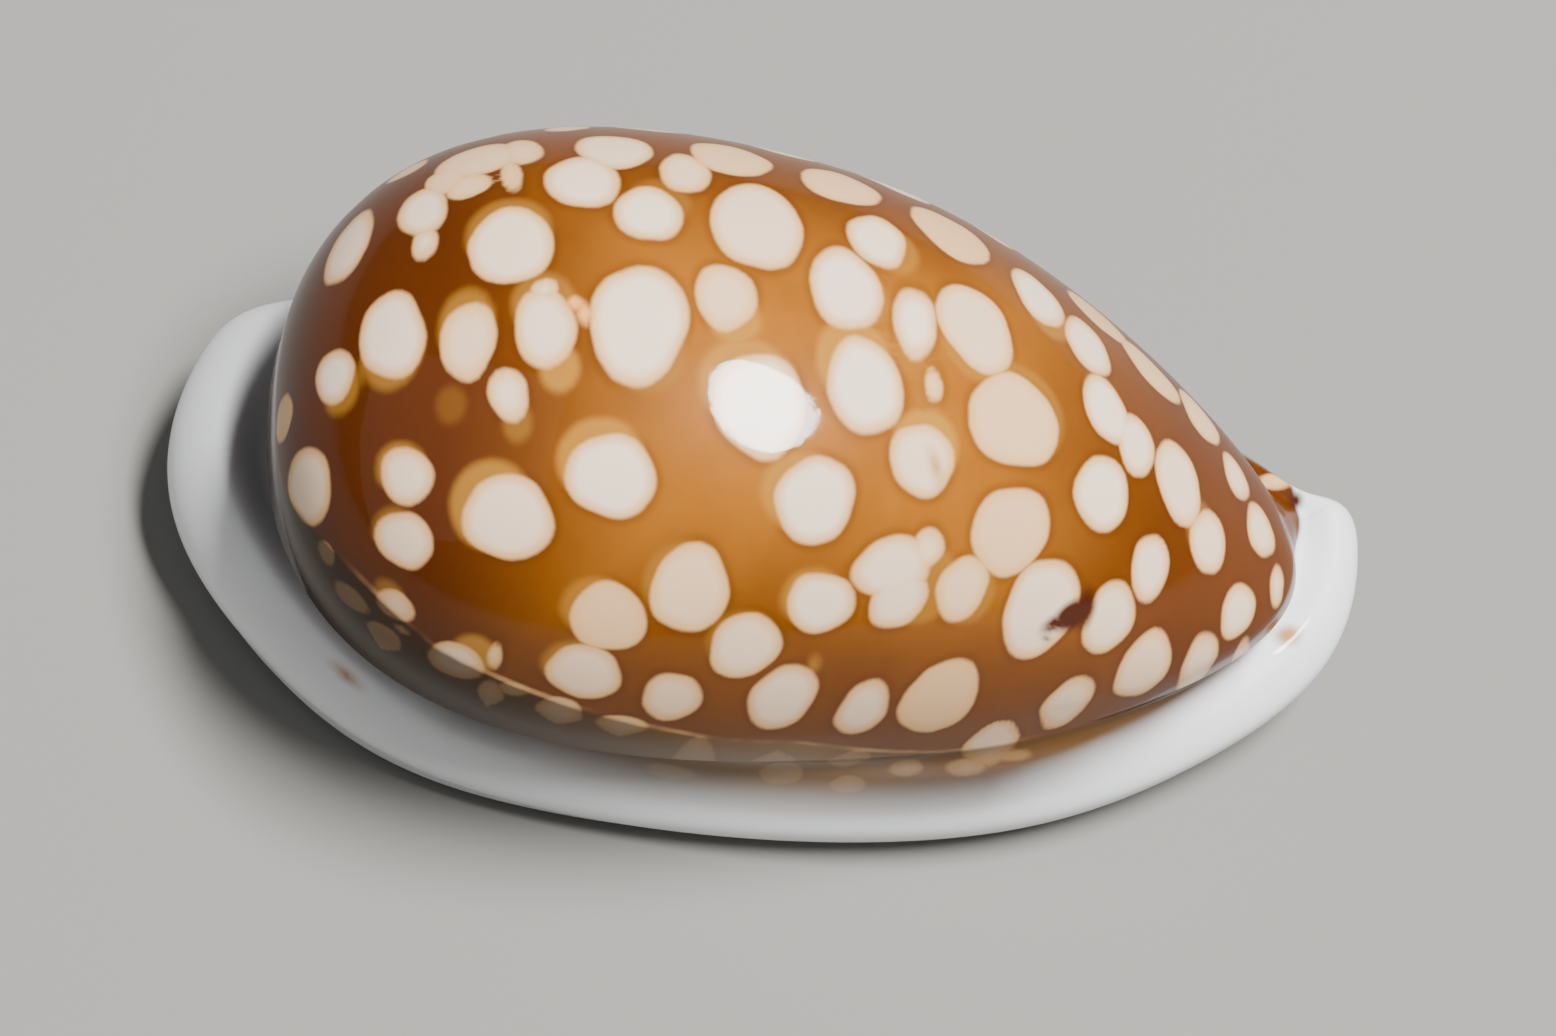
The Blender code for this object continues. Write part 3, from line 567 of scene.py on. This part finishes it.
def markings(skin):
    """Every marking as one number at each point of the mesh."""
    chance = np.random.default_rng(FILL_SEED)
    count = len(skin["points"])
    marked = {}
    for group in range(GROUPS):
        marked[f"spot_{group}"] = np.full(count, FAR)
        marked[f"cream_{group}"] = np.zeros(count)
    spots = list(SPOTS) + filled_spots(skin, chance)
    distances = []
    for station, girth, length, span, turn, _ in spots:
        waves = [(number, height, chance.uniform(0.0, TURN)) for number, height in SPOT_WOBBLE]
        distances.append(patch(skin, station, girth, length, span, turn, waves))
    middles = [spot_centre(skin, station, girth) for station, girth, *_ in spots]
    for group, distance, spot in zip(grouped(distances, middles), distances, spots):
        nearest = distance < marked[f"spot_{group}"]
        marked[f"cream_{group}"] = np.where(nearest, spot[-1], marked[f"cream_{group}"])
        marked[f"spot_{group}"] = np.minimum(marked[f"spot_{group}"], distance)

    marked["ghost"] = np.full(count, FAR)
    marked["ghost_strength"] = np.zeros(count)
    for station, girth, length, span, strength in GHOSTS:
        distance = patch(skin, station, girth, length, span)
        marked["ghost_strength"] = np.where(
            distance < marked["ghost"], strength, marked["ghost_strength"])
        marked["ghost"] = np.minimum(marked["ghost"], distance)
    for name in MARK_NAMES:
        marked[name] = np.full(count, FAR)
    for station, girth, length, span, turn, mark in MARKS:
        marked[mark] = np.minimum(marked[mark], patch(skin, station, girth, length, span, turn))
    for name in [f"spot_{group}" for group in range(GROUPS)] + ["ghost", *MARK_NAMES]:
        marked[name] = np.where(skin["outside"], marked[name], FAR)

    station, girth = skin["points"][:, 0], skin["girth"]
    near = np.radians(np.interp(station, VEIL_STATIONS, VEIL_GIRTHS) - girth) * skin["radius"]
    far = np.radians(girth - VEIL_FAR_GIRTH) * skin["radius"]
    joined = 0.5 * (near + far + np.hypot(near - far, VEIL_ROUNDING))
    marked["veil"] = np.clip(joined, -FAR, FAR) - FAR * smooth(*VEIL_TIP_STATIONS, station)
    marked["line"] = smooth(*VEIL_LINE_START, station) * (1.0 - smooth(*VEIL_LINE_END, station))
    marked["milk"] = smooth(*VEIL_MILK, marked["veil"]) * (1.0 - smooth(*VEIL_SHADE_STATIONS, station))
    # Painted shade over the veil: darker towards the spire end, and again towards the front.
    marked["veil_shade"] = np.maximum(
        smooth(*VEIL_SHADE_STATIONS, station), VEIL_FRONT_SHADE * smooth(*VEIL_FRONT_SHADE_STATIONS, station))
    # Darker brown towards both ends and down both sides: partly thicker pigment, partly painted shade.
    marked["thick"] = np.maximum.reduce([
        THICK_SHADE_SPIRE * smooth(*THICK_SHADE_STATIONS, station),
        THICK_SHADE_FRONT * smooth(*THICK_SHADE_FRONT_STATIONS, station),
        THICK_SHADE_SIDE * smooth(*THICK_SHADE_GIRTHS, girth),
        THICK_SHADE_FAR_SIDE * smooth(*THICK_SHADE_FAR_GIRTHS, girth)])
    higher = np.interp(station, WHITE_STATIONS, WHITE_HIGHER)
    far_higher = np.interp(station, WHITE_FAR_STATIONS, WHITE_FAR_HIGHER)
    far_share = smooth(*WHITE_FAR_GIRTHS, girth) * (1.0 - smooth(*WHITE_FAR_ENDS, girth))
    marked["place"] = skin["place"] + higher + (far_higher - higher) * far_share
    return marked


def write_attribute(mesh, name, numbers):
    """One number for each point of a mesh, for its nodes and material to read."""
    attribute = mesh.attributes.new(name, "FLOAT", "POINT")
    attribute.data.foreach_set("value", np.asarray(numbers, np.float32))


# ---------------------------------------------------------------- node trees
def add(tree, kind, inputs=None, **settings):
    """One node, with its settings, its input values and the sockets that feed it."""
    node = tree.nodes.new(kind)
    for name, value in settings.items():
        setattr(node, name, value)
    for key, value in (inputs or {}).items():
        if isinstance(value, bpy.types.NodeSocket):
            tree.links.new(value, node.inputs[key])
        else:
            node.inputs[key].default_value = value
    return node


def teeth_tree(material):
    """Sinks the gaps between the teeth into the lips, which carry where each point is along them."""
    tree = bpy.data.node_groups.new("Lip teeth", "GeometryNodeTree")
    face = tree.interface
    face.new_socket("Geometry", in_out="INPUT", socket_type="NodeSocketGeometry")
    sizes = (
        ("Outer lip teeth", "NodeSocketInt"), ("Columella teeth", "NodeSocketInt"),
        ("Outer lip depth", "NodeSocketFloat"), ("Columella depth", "NodeSocketFloat"),
        ("Rise", "NodeSocketFloat"),
    )
    for name, kind in sizes:
        face.new_socket(name, in_out="INPUT", socket_type=kind)
    face.new_socket("Geometry", in_out="OUTPUT", socket_type="NodeSocketGeometry")
    given = add(tree, "NodeGroupInput").outputs
    place = add(tree, "GeometryNodeInputNamedAttribute", {"Name": "lip_place"}, data_type="FLOAT")
    side = add(tree, "GeometryNodeInputNamedAttribute", {"Name": "lip_side"}, data_type="FLOAT")
    share = add(tree, "GeometryNodeInputNamedAttribute", {"Name": "lip_share"}, data_type="FLOAT")
    columella = add(tree, "FunctionNodeCompare", {0: side.outputs[0], 1: 0.0}, operation="GREATER_THAN")
    count = add(tree, "GeometryNodeSwitch", {
        "Switch": columella.outputs[0], "False": given["Outer lip teeth"],
        "True": given["Columella teeth"]}, input_type="FLOAT")
    depth = add(tree, "GeometryNodeSwitch", {
        "Switch": columella.outputs[0], "False": given["Outer lip depth"],
        "True": given["Columella depth"]}, input_type="FLOAT")
    turns = add(tree, "ShaderNodeMath", {0: place.outputs[0], 1: count.outputs[0]}, operation="MULTIPLY")
    angle = add(tree, "ShaderNodeMath", {0: turns.outputs[0], 1: TURN}, operation="MULTIPLY")
    wave = add(tree, "ShaderNodeMath", {0: angle.outputs[0]}, operation="COSINE")
    gap = add(tree, "ShaderNodeMath", {0: wave.outputs[0], 1: -0.5, 2: 0.5}, operation="MULTIPLY_ADD")
    shared = add(tree, "ShaderNodeMath", {0: gap.outputs[0], 1: share.outputs[0]}, operation="MULTIPLY")
    sunk = add(tree, "ShaderNodeMath", {0: shared.outputs[0], 1: depth.outputs[0]}, operation="MULTIPLY")
    sideways = add(
        tree, "ShaderNodeMath", {0: sunk.outputs[0], 1: side.outputs[0]}, operation="MULTIPLY")
    upwards = add(tree, "ShaderNodeMath", {0: sunk.outputs[0], 1: given["Rise"]}, operation="MULTIPLY")
    offset = add(tree, "ShaderNodeCombineXYZ", {"Y": sideways.outputs[0], "Z": upwards.outputs[0]})
    moved = add(tree, "GeometryNodeSetPosition", {
        "Geometry": given["Geometry"], "Offset": offset.outputs[0]})
    real = add(tree, "GeometryNodeRealizeInstances", {"Geometry": moved.outputs[0]})
    dressed = add(tree, "GeometryNodeSetMaterial", {"Geometry": real.outputs[0], "Material": material})
    add(tree, "NodeGroupOutput", {"Geometry": dressed.outputs[0]})
    return tree


def cut_teeth(shell, skin, tree, values):
    """Runs the tooth tree over the shell and leaves the result as its plain mesh."""
    own = mouth_angle(skin["compass"])
    fade = np.clip((np.abs(np.sin(own)) - TOOTH_FADE[0]) / TOOTH_FADE[1], 0.0, 1.0)
    share = np.interp(skin["place"], TOOTH_RINGS, TOOTH_SHARES)
    lip = {"lip_place": -0.5 * np.cos(own), "lip_side": np.sign(np.sin(own)), "lip_share": share * fade}
    for name, numbers in lip.items():
        write_attribute(shell.data, name, numbers)
    modifier = shell.modifiers.new("Teeth", "NODES")
    modifier.node_group = tree
    for item in tree.interface.items_tree:
        if item.name in values and item.in_out == "INPUT":
            modifier[item.identifier] = values[item.name]
    graph = bpy.context.evaluated_depsgraph_get()
    finished = bpy.data.meshes.new_from_object(shell.evaluated_get(graph))
    shell.modifiers.remove(modifier)
    rough = shell.data
    shell.data = finished
    bpy.data.meshes.remove(rough)
    finished.name = shell.name
    for name in lip:
        finished.attributes.remove(finished.attributes[name])


# ---------------------------------------------------------------- enamel
SHELL_READINGS = (
    "ghost", "ghost_strength", "veil", "veil_shade", "milk", "line", "thick", "place") + MARK_NAMES
# Soft edges: name, what is read, where the edge starts and where it is full. Place is in control
# rings from the widest girth downwards, and the rest is in mm from a marking's edge, below 0 inside
# the marking but above 0 inside the veil.
SOFT_EDGES = (
    ("fringe", "spot", 0.25, 0.02), ("spot_edge", "spot", 0.05, -0.08),
    ("spot_heart", "spot", -0.02, -0.34), ("ghost", "ghost", 0.05, -0.22),
    ("veiled", "veil", -0.05, 0.15),
    ("line_above", "veil", -0.16, -0.02), ("line_below", "veil", 0.13, 0.0),
    # The white begins well up the roll, so its inner side keeps the veil's brown: partly the veil's own
    # reach, partly painted shade in the groove between back and roll.
    ("porcelain", "place", 1.9, 3.6), ("dark", "dark", 0.12, -0.16), ("tan", "tan", 0.16, -0.20),
    ("glow", "glow", 0.08, -0.12),
)
# How much of what lies under it each pigment hides, at the most.
COVER = {
    "patchy": 0.22, "thick": 0.97, "fringe": 0.30, "ghost": 0.85, "spot_edge": 0.97,
    "spot_heart": 0.85, "veiled": 0.82, "milk": 0.07, "line": 0.65,
}
CLOUD_SIZE = 2.6                    # mm between thick and thin patches of the brown pigment
CLOUD_DETAIL = 3.0
CLOUD_EDGE = (0.36, 0.66)           # how dense the cloud is where a patch starts, and where it is full
WAVER_SIZE = 0.5                    # mm, unevenness along the spots' edges
WAVER_DETAIL = 2.0
WAVER_REACH = 0.07
RIPPLE_SIZE = 0.42                  # mm, growth unevenness that frays the edge of a reflection
RIPPLE_DETAIL = 4.0
RIPPLE_HEIGHT = 0.0022
SCATTER_REACH = 0.5                 # mm that light travels inside the enamel
SCATTER_SPREAD = (1.0, 0.62, 0.40)
SHELL_IOR = 1.56                    # aragonite laid in a little protein


def shell_enamel(settings):
    """Polished shell enamel: glassy aragonite that the animal laid over the pigment, layer by layer.

    Its thin clear skin, the coat, gives the small hard highlights. Pigment and chalky white lie just
    under it and hardly shine, so the spots stay matt and milky while the surface over them looks wet."""
    material = bpy.data.materials.new("Polished shell enamel")
    material.use_nodes = True
    tree = material.node_tree
    tree.nodes.clear()
    read = {name: add(tree, "ShaderNodeAttribute", attribute_name=name).outputs["Fac"]
            for name in SHELL_READINGS}
    object_space = add(tree, "ShaderNodeTexCoord").outputs["Object"]
    cloud = add(tree, "ShaderNodeTexNoise", {
        "Vector": object_space, "Scale": 1.0 / (CLOUD_SIZE * MM), "Detail": CLOUD_DETAIL}).outputs["Fac"]
    waver = add(tree, "ShaderNodeTexNoise", {
        "Vector": object_space, "Scale": 1.0 / (WAVER_SIZE * MM), "Detail": WAVER_DETAIL}).outputs["Fac"]
    shift = add(tree, "ShaderNodeMath", {0: waver, 1: WAVER_REACH, 2: -0.5 * WAVER_REACH},
                operation="MULTIPLY_ADD").outputs[0]
    spot, cream = None, None
    for group in range(GROUPS):
        distance = add(tree, "ShaderNodeAttribute", attribute_name=f"spot_{group}").outputs["Fac"]
        tone = add(tree, "ShaderNodeAttribute", attribute_name=f"cream_{group}").outputs["Fac"]
        if spot is None:
            spot, cream = distance, tone
            continue
        nearer = add(tree, "ShaderNodeMath", {0: distance, 1: spot}, operation="LESS_THAN").outputs[0]
        cream = add(tree, "ShaderNodeMix", {0: nearer, 2: cream, 3: tone}, data_type="FLOAT").outputs[0]
        spot = add(tree, "ShaderNodeMath", {0: distance, 1: spot}, operation="MINIMUM").outputs[0]
    read["spot"] = spot
    for name in ("spot", "ghost", "veil") + MARK_NAMES:
        read[name] = add(tree, "ShaderNodeMath", {0: read[name], 1: shift}).outputs[0]
    edge = {name: add(tree, "ShaderNodeMapRange", {
        "Value": read[source], "From Min": start, "From Max": full},
        interpolation_type="SMOOTHSTEP").outputs[0] for name, source, start, full in SOFT_EDGES}

    patchy = add(tree, "ShaderNodeMapRange", {
        "Value": cloud, "From Min": CLOUD_EDGE[0], "From Max": CLOUD_EDGE[1]},
        interpolation_type="SMOOTHSTEP").outputs[0]
    whiteness = add(tree, "ShaderNodeMath", {0: 1.0, 1: cream}, operation="SUBTRACT").outputs[0]
    factors = {
        "patchy": (patchy,), "thick": (read["thick"],), "fringe": (edge["fringe"],),
        "ghost": (edge["ghost"], read["ghost_strength"]), "spot_edge": (edge["spot_edge"],),
        "spot_heart": (edge["spot_heart"], whiteness), "veiled": (edge["veiled"],),
        "milk": (read["milk"],), "line": (edge["line_above"], edge["line_below"], read["line"], patchy),
    }
    cover = {}
    for name, shares in factors.items():
        cover[name] = COVER[name]
        for share in shares:
            cover[name] = add(
                tree, "ShaderNodeMath", {0: share, 1: cover[name]}, operation="MULTIPLY").outputs[0]
    colour = add(tree, "ShaderNodeMix", {
        0: cover["patchy"], 6: settings.ground, 7: settings.deep_brown_and_shade}, data_type="RGBA").outputs[2]
    # The veil's colour, mixed towards its painted shade towards the spire end and the front.
    veil = add(tree, "ShaderNodeMix", {
        0: read["veil_shade"], 6: settings.veil, 7: settings.shaded_veil}, data_type="RGBA").outputs[2]
    # First layer: darker brown, partly thicker pigment and partly painted shade towards both ends and
    # down both sides.
    layers = (
        (cover["thick"], settings.deep_brown_and_shade), (cover["fringe"], settings.deep_brown_and_shade),
        (cover["ghost"], settings.old_spots), (cover["spot_edge"], settings.cream),
        (cover["spot_heart"], settings.spots), (cover["veiled"], veil),
        (cover["milk"], settings.porcelain), (cover["line"], settings.cream),
        (edge["porcelain"], settings.porcelain), (edge["glow"], settings.glow),
        (edge["tan"], settings.stain), (edge["dark"], settings.scar),
    )
    for share, pigment in layers:
        colour = add(
            tree, "ShaderNodeMix", {0: share, 6: colour, 7: pigment}, data_type="RGBA").outputs[2]

    ripple = add(tree, "ShaderNodeTexNoise", {
        "Vector": object_space, "Scale": 1.0 / (RIPPLE_SIZE * MM),
        "Detail": RIPPLE_DETAIL}).outputs["Fac"]
    bump = add(tree, "ShaderNodeBump", {
        "Height": ripple, "Distance": RIPPLE_HEIGHT * MM, "Strength": 1.0}).outputs[0]
    surface = add(tree, "ShaderNodeBsdfPrincipled", {
        "Base Color": colour, "Roughness": 0.35, "IOR": SHELL_IOR, "Specular IOR Level": 0.03,
        "Subsurface Weight": 0.2, "Subsurface Radius": SCATTER_SPREAD,
        "Subsurface Scale": SCATTER_REACH * MM,
        "Coat Weight": 0.4, "Coat Roughness": 0.03, "Coat IOR": SHELL_IOR,
        "Normal": bump, "Coat Normal": bump}).outputs[0]
    add(tree, "ShaderNodeOutputMaterial", {"Surface": surface})
    return material


def floor_paint(colour):
    """Matt emulsion paint on a smooth board, sprayed: soft shadows and no shine."""
    material = bpy.data.materials.new("Matt white board")
    material.use_nodes = True
    tree = material.node_tree
    tree.nodes.clear()
    surface = add(tree, "ShaderNodeBsdfPrincipled", {
        "Base Color": colour, "Roughness": 0.9, "Specular IOR Level": 0.2}).outputs[0]
    add(tree, "ShaderNodeOutputMaterial", {"Surface": surface})
    return material


# ---------------------------------------------------------------- sizes and colours to change
def colour_setting(name, description, code):
    """A colour that the panel shows."""
    return bpy.props.FloatVectorProperty(
        name=name, description=description, subtype="COLOR", size=4, min=0.0, max=1.0,
        default=linear(code))


class CowrieShellSettings(bpy.types.PropertyGroup):
    """Sizes and colours of the shell."""
    length: bpy.props.FloatProperty(
        name="Length", description="From the spire end to the front tip",
        default=CAD_BOX[1].x - CAD_BOX[0].x, min=0.005, unit="LENGTH", subtype="DISTANCE", precision=4)
    outer_teeth: bpy.props.IntProperty(
        name="Outer lip teeth", description="Teeth along the outer lip", default=19, min=0, max=60)
    columella_teeth: bpy.props.IntProperty(
        name="Columella teeth", description="Teeth along the columella lip", default=17, min=0, max=60)
    outer_depth: bpy.props.FloatProperty(
        name="Outer lip tooth height", description="Height of the outer lip's teeth above their gaps",
        default=0.50 * MM, min=0.0, unit="LENGTH", subtype="DISTANCE", precision=5)
    columella_depth: bpy.props.FloatProperty(
        name="Columella tooth height", description="Height of the columella's teeth above their gaps",
        default=0.42 * MM, min=0.0, unit="LENGTH", subtype="DISTANCE", precision=5)
    ground: colour_setting("Ground", "Brown of the back", "#9E601A")
    # Deep brown of the mottling and of the spots' fringes, also laid as painted shade towards both ends
    # and down both sides.
    deep_brown_and_shade: colour_setting("Deep ground", "Brown where the pigment is thick", "#4E2206")
    spots: colour_setting("Spots", "Middle of the pale spots", "#F2E1CE")
    cream: colour_setting("Cream", "Edges of the pale spots, and the creamy ones", "#DDAA70")
    old_spots: colour_setting("Old spots", "Deeper spots that show through", "#B27C2C")
    veil: colour_setting("Veil", "Milky band above the margin", "#7A5412")
    # Painted shade: the veil's dark end, where shade falls in the tuck above the margin.
    shaded_veil: colour_setting("Deep veil", "The band where the pigment under it is thick", "#291904")
    porcelain: colour_setting("Porcelain", "Margin, base and mouth", "#EFF0F2")
    scar: colour_setting("Scar", "Dark streak on the back", "#421A0A")
    stain: colour_setting("Stain", "Tan marks of age on the margin", "#B98A58")
    glow: colour_setting("Glow", "Small worn patch on the back", "#F0A25C")


class CowrieStageSettings(bpy.types.PropertyGroup):
    """The plain floor and light."""
    floor_side: bpy.props.FloatProperty(
        name="Floor side", description="Side of the square floor", default=1.6, min=0.1,
        unit="LENGTH", subtype="DISTANCE")
    key_power: bpy.props.FloatProperty(
        name="Key light", description="Power of the oval key light", default=5.0, min=0.0, unit="POWER")
    fill_power: bpy.props.FloatProperty(
        name="Fill light", description="Power of the large soft light", default=1.2, min=0.0,
        unit="POWER")
    room_light: bpy.props.FloatProperty(
        name="Room light", description="Strength of the even light all round", default=0.12, min=0.0)
    floor: colour_setting("Floor", "Colour of the floor", "#84837F")
    room: colour_setting("Room", "Colour of the even light", "#E8ECF0")


class COWRIE_OT_shell(bpy.types.Operator):
    """Build the shell with its markings and teeth"""
    bl_idname = "cowrie.shell"
    bl_label = "Build shell"
    bl_options = {"REGISTER", "UNDO"}

    def execute(self, context):
        settings = context.scene.cowrie_shell
        mesh, skin = shell_mesh(settings.length)
        shell = bpy.data.objects.new("cowrie_shell", mesh)
        context.scene.collection.objects.link(shell)
        for name, numbers in markings(skin).items():
            write_attribute(mesh, name, numbers)
        material = shell_enamel(settings)
        mesh.materials.append(material)
        cut_teeth(shell, skin, teeth_tree(material), {
            "Outer lip teeth": settings.outer_teeth, "Columella teeth": settings.columella_teeth,
            "Outer lip depth": settings.outer_depth, "Columella depth": settings.columella_depth,
            "Rise": TOOTH_RISE,
        })
        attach(shell, "root")
        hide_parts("shell")
        return {"FINISHED"}


# ---------------------------------------------------------------- stage
CAMERA_AZIMUTH = -18.0              # degrees, from the outer-lip side towards the front end
CAMERA_ELEVATION = 60.0
CAMERA_ROLL = 19.5
CAMERA_DISTANCE = 120.0             # mm
CAMERA_TARGET = (-0.16, -0.54, 4.0)     # mm
CAMERA_LENS = 113.3                 # mm
CAMERA_SENSOR = 36.0                # mm
CAMERA_CLIP = (0.01, 10.0)          # metres, nearest and farthest thing seen
KEY_DISTANCE = 0.40                 # metres
KEY_SIZE = (0.088, 0.235)           # metres, across and upright
KEY_AIM = (0.55, 0.53)              # how far right of and above the camera it stands, as a slope
FILL_DISTANCE = 0.70
FILL_SIZE = (0.9, 0.9)
FILL_AIM = (-0.8, 0.2)


def camera_axes():
    """Unit vectors to the camera's right, up and back."""
    azimuth, elevation, roll = np.radians([CAMERA_AZIMUTH, CAMERA_ELEVATION, CAMERA_ROLL])
    back = Vector((np.sin(azimuth) * np.cos(elevation), -np.cos(azimuth) * np.cos(elevation),
                   np.sin(elevation)))
    level = Vector((np.cos(azimuth), np.sin(azimuth), 0.0))
    upright = back.cross(level)
    right = level * np.cos(roll) + upright * np.sin(roll)
    up = upright * np.cos(roll) - level * np.sin(roll)
    return right, up, back


def place_light(name, shape, aim, distance, size, power):
    """A soft area light that looks at the shell, from so far right of and above the camera."""
    right, up, back = camera_axes()
    away = (back + right * aim[0] + up * aim[1]).normalized()
    upright = (up - away * up.dot(away)).normalized()
    data = bpy.data.lights.new(name, "AREA")
    data.shape = shape
    data.size, data.size_y = size
    data.energy = power
    light = bpy.data.objects.new(name, data)
    turn = Matrix((upright.cross(away), upright, away)).transposed().to_4x4()
    light.matrix_world = Matrix.Translation(Vector(CAMERA_TARGET) * MM + away * distance) @ turn
    bpy.context.scene.collection.objects.link(light)


class COWRIE_OT_stage(bpy.types.Operator):
    """Add the plain floor, the soft lights and the camera"""
    bl_idname = "cowrie.stage"
    bl_label = "Build stage"
    bl_options = {"REGISTER", "UNDO"}

    def execute(self, context):
        settings = context.scene.cowrie_stage
        half = 0.5 * settings.floor_side
        corners = [(-half, -half, 0.0), (half, -half, 0.0), (half, half, 0.0), (-half, half, 0.0)]
        mesh = bpy.data.meshes.new("Floor")
        mesh.from_pydata(corners, [], [(0, 1, 2, 3)])
        mesh.materials.append(floor_paint(settings.floor))
        floor = bpy.data.objects.new("floor", mesh)
        context.scene.collection.objects.link(floor)

        place_light("Key", "ELLIPSE", KEY_AIM, KEY_DISTANCE, KEY_SIZE, settings.key_power)
        place_light("Fill", "RECTANGLE", FILL_AIM, FILL_DISTANCE, FILL_SIZE, settings.fill_power)

        world = bpy.data.worlds.new("Room")
        world.use_nodes = True
        world.node_tree.nodes.clear()
        light = add(world.node_tree, "ShaderNodeBackground", {
            "Color": settings.room, "Strength": settings.room_light}).outputs[0]
        add(world.node_tree, "ShaderNodeOutputWorld", {"Surface": light})
        context.scene.world = world

        data = bpy.data.cameras.new("Camera")
        data.lens = CAMERA_LENS
        data.sensor_width = CAMERA_SENSOR
        data.clip_start, data.clip_end = CAMERA_CLIP
        camera = bpy.data.objects.new("Camera", data)
        right, up, back = camera_axes()
        turn = Matrix((right, up, back)).transposed().to_4x4()
        place = (Vector(CAMERA_TARGET) + back * CAMERA_DISTANCE) * MM
        camera.matrix_world = Matrix.Translation(place) @ turn
        context.scene.collection.objects.link(camera)
        context.scene.camera = camera
        return {"FINISHED"}


class COWRIE_PT_panel(bpy.types.Panel):
    """The shell's and the stage's settings"""
    bl_idname = "COWRIE_PT_panel"
    bl_label = "Cowrie shell"
    bl_space_type = "VIEW_3D"
    bl_region_type = "UI"
    bl_category = "Cowrie"

    def draw(self, context):
        for settings, operator in (("cowrie_shell", "cowrie.shell"), ("cowrie_stage", "cowrie.stage")):
            group = getattr(context.scene, settings)
            column = self.layout.box().column()
            for name in group.__annotations__:
                column.prop(group, name)
            column.operator(operator)


CLASSES = (
    CowrieShellSettings, CowrieStageSettings, COWRIE_OT_shell, COWRIE_OT_stage, COWRIE_PT_panel)


def register():
    """Adds the settings, operators and panel."""
    for made in CLASSES:
        bpy.utils.register_class(made)
    bpy.types.Scene.cowrie_shell = bpy.props.PointerProperty(type=CowrieShellSettings)
    bpy.types.Scene.cowrie_stage = bpy.props.PointerProperty(type=CowrieStageSettings)


def unregister():
    """Takes them out again."""
    del bpy.types.Scene.cowrie_stage
    del bpy.types.Scene.cowrie_shell
    for made in reversed(CLASSES):
        bpy.utils.unregister_class(made)


def main():
    """Builds the shell and its stage."""
    register()
    bpy.ops.cowrie.shell()
    bpy.ops.cowrie.stage()


if __name__ == "__main__":
    main()
